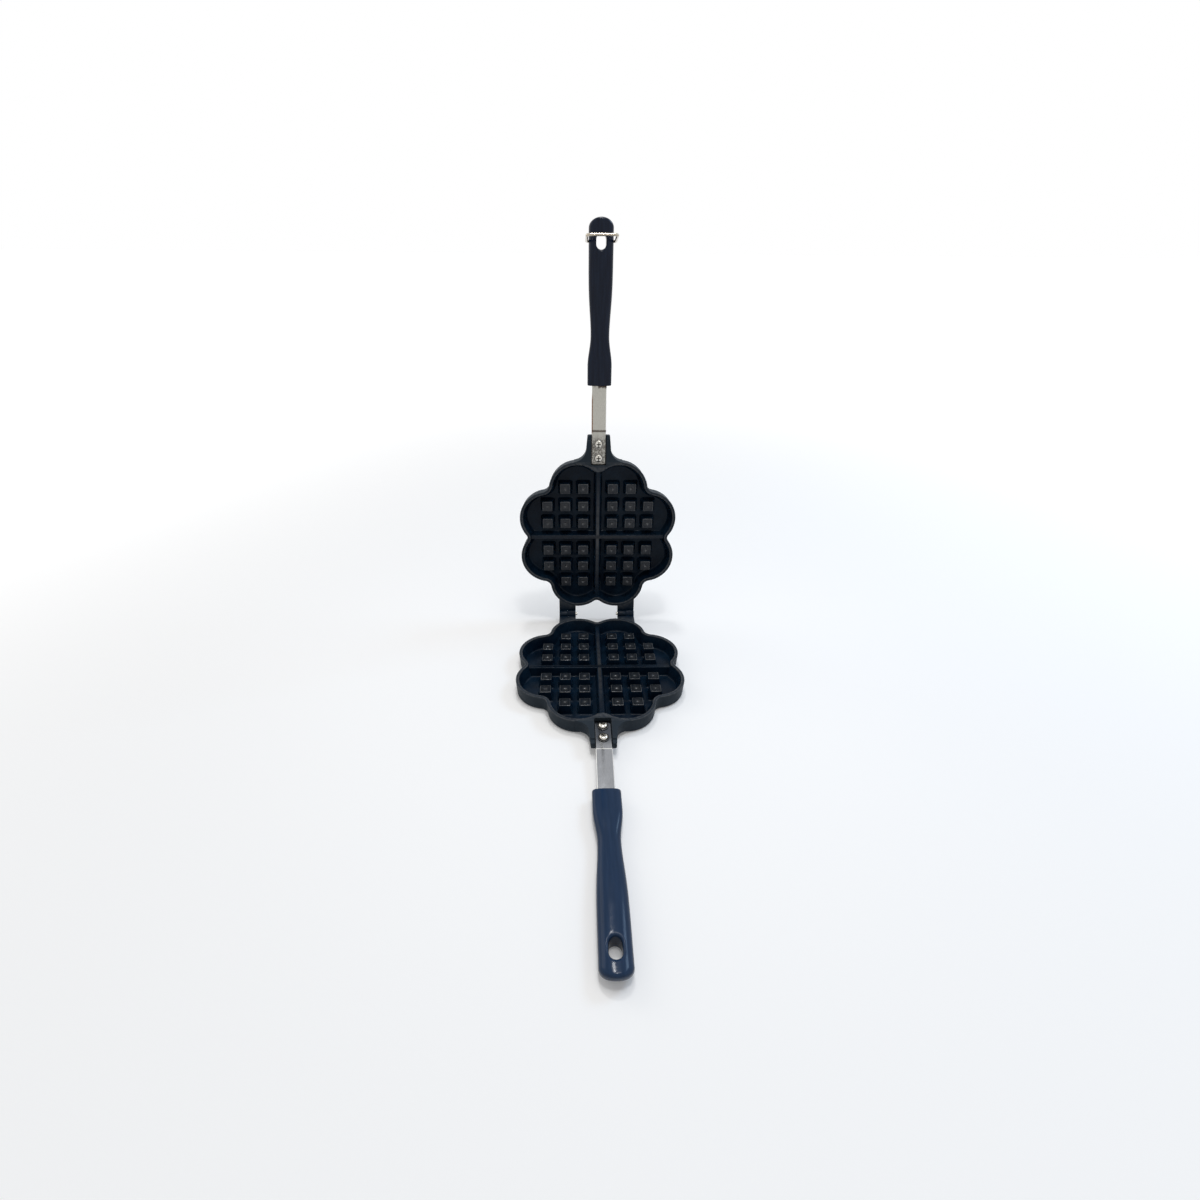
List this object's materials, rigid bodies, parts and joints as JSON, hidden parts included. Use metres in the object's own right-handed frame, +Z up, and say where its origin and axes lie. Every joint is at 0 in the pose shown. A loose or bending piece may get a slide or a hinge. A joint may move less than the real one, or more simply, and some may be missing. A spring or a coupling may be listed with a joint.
{
  "type": "waffle cake mould",
  "caption": "Stovetop waffle cake mould of hinged cast plates with pegged heart cavities, steel strip handles, moulded grips and a wire latch loop.",
  "frame": {"origin": "middle of the lower plate's underside", "axes": "+Z up, hinge towards +Y, handles towards -Y, +X across to the right as the cook holds it"},
  "size_m": [0.166, 0.4326, 0.4031],
  "materials": {
    "plate_coating": "dark non-stick coating, satin",
    "handle_strip": "satin steel with a little rust at one edge",
    "screw_steel": "bright nickel",
    "pin_steel": "bright steel",
    "grip_plastic": "dark navy, glossy",
    "latch_wire": "bright wire"
  },
  "bodies": {
    "lower_half": {"lower_plate": "plate_coating", "hinge_pin_right": "pin_steel", "lower_strip": "handle_strip", "lower_inner_screw": "screw_steel", "lower_outer_screw": "screw_steel", "lower_inner_washer": "screw_steel", "lower_outer_washer": "screw_steel", "lower_grip": "grip_plastic"},
    "upper_half": {"upper_plate": "plate_coating", "hinge_pin_left": "pin_steel", "upper_strip": "handle_strip", "upper_inner_screw": "screw_steel", "upper_outer_screw": "screw_steel", "upper_inner_washer": "screw_steel", "upper_outer_washer": "screw_steel", "upper_grip": "grip_plastic"},
    "latch": {"latch_loop": "latch_wire"}
  },
  "joints": [
    {"name": "plate_hinge", "type": "hinge", "parent": "lower_half", "child": "upper_half", "pos_m": [0, 0.0927, 0.016], "axis": [1, 0, 0], "range_deg": [0, 94.3]},
    {"name": "latch_swing", "type": "hinge", "parent": "upper_half", "child": "latch", "pos_m": [0, 0.12905, 0.38471], "axis": [1, 0, 0], "range_deg": [-240, 27]}
  ]
}
